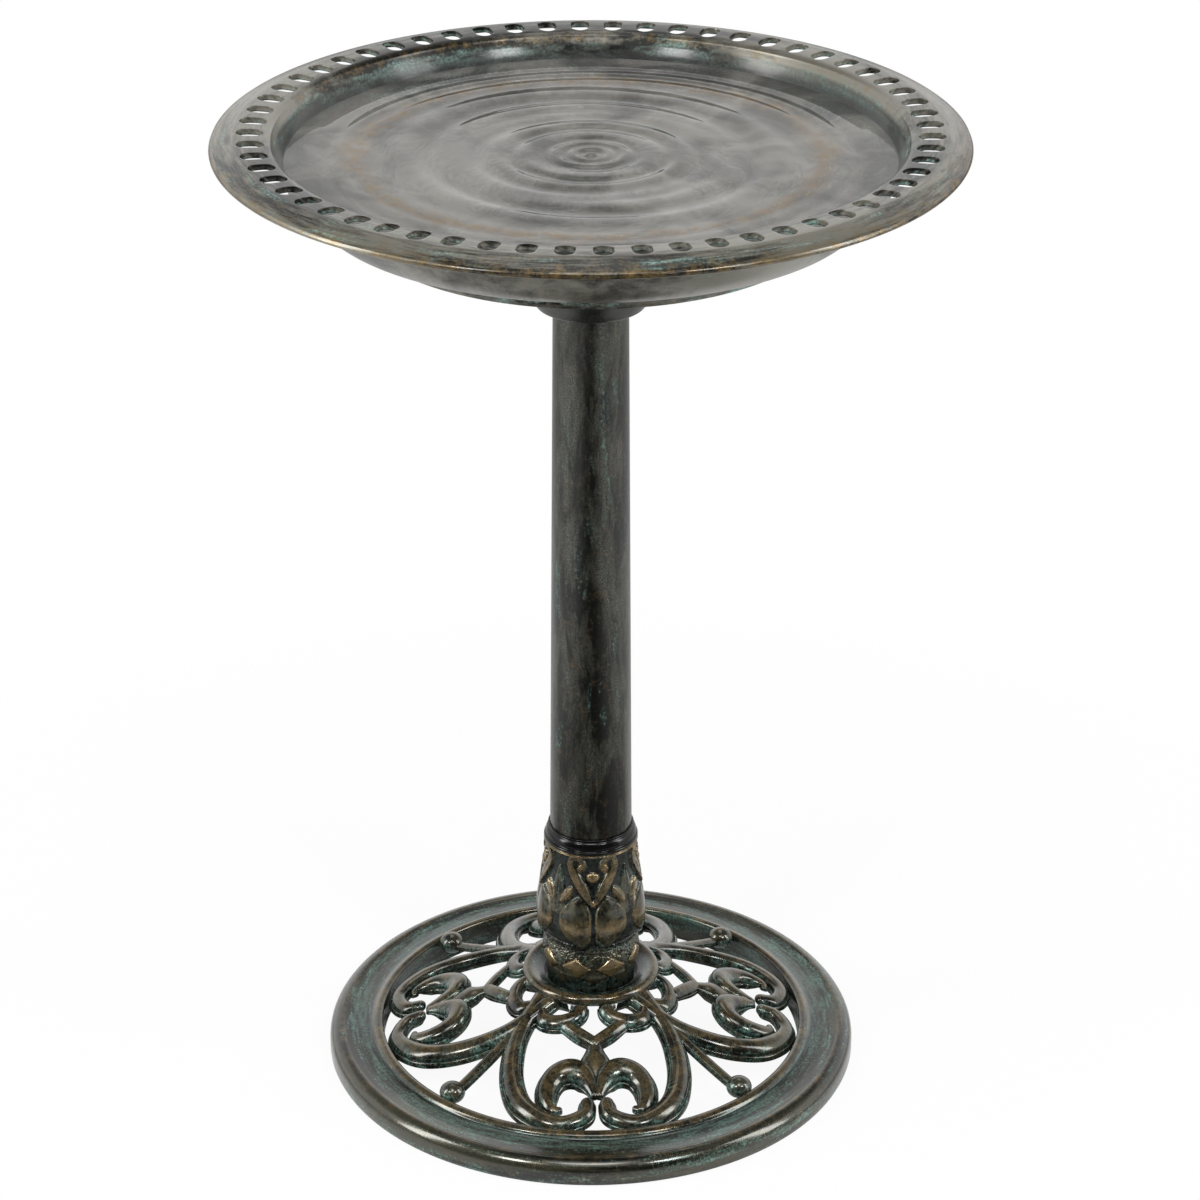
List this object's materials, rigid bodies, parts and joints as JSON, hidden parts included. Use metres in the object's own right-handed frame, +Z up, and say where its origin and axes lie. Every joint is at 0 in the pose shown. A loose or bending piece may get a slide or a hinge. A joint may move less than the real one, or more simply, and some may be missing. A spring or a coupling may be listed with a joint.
{
  "type": "bird bath",
  "caption": "Pedestal bird bath: a round basin with drain slots in its rim on a slim column, with a lotus collar and an openwork scroll base; the basin unscrews.",
  "frame": {"origin": "on the ground under the centre of the column", "axes": "+Z up along the column; -Y is the side the scrollwork's front motif faces, turned 2 degrees"},
  "size_m": [0.508, 0.508, 0.713],
  "materials": {
    "basin_finish": "satin antique bronze with pale verdigris, moulded resin",
    "mount_resin": "black moulded resin, satin",
    "zinc_steel": "zinc plated, satin",
    "gasket_rubber": "matte black",
    "plug_plastic": "matte black moulded",
    "column_finish": "dark antique bronze with green streaks, satin resin",
    "collar_finish": "dark antique bronze, rubbed highlights, satin resin",
    "ring_gloss": "glossy black",
    "base_finish": "dark antique bronze with verdigris, satin resin"
  },
  "bodies": {
    "pedestal": {"base": "base_finish", "base_bolt": "zinc_steel", "base_washer": "zinc_steel", "base_nut": "zinc_steel", "neck_ring": "collar_finish", "collar": "collar_finish", "collar_ring": "ring_gloss", "column_foot": "plug_plastic", "column_tube": "column_finish", "column_head": "plug_plastic"},
    "gasket": {"basin_gasket": "gasket_rubber"},
    "basin": {"basin": "basin_finish", "basin_mount": "mount_resin", "mount_screws": "zinc_steel"}
  },
  "joints": [
    {"name": "basin_lift", "type": "slide", "parent": "pedestal", "child": "gasket", "axis": [0, 0, 1], "range_m": [0, 0.015]},
    {"name": "basin_turn", "type": "hinge", "parent": "gasket", "child": "basin", "pos_m": [0, 0, 0.633], "axis": [0, 0, 1], "range_deg": [0, 120]}
  ],
  "couplings": [
    {"joint": "basin_lift", "follows": "basin_turn", "m_per_rad": 0.00716}
  ]
}
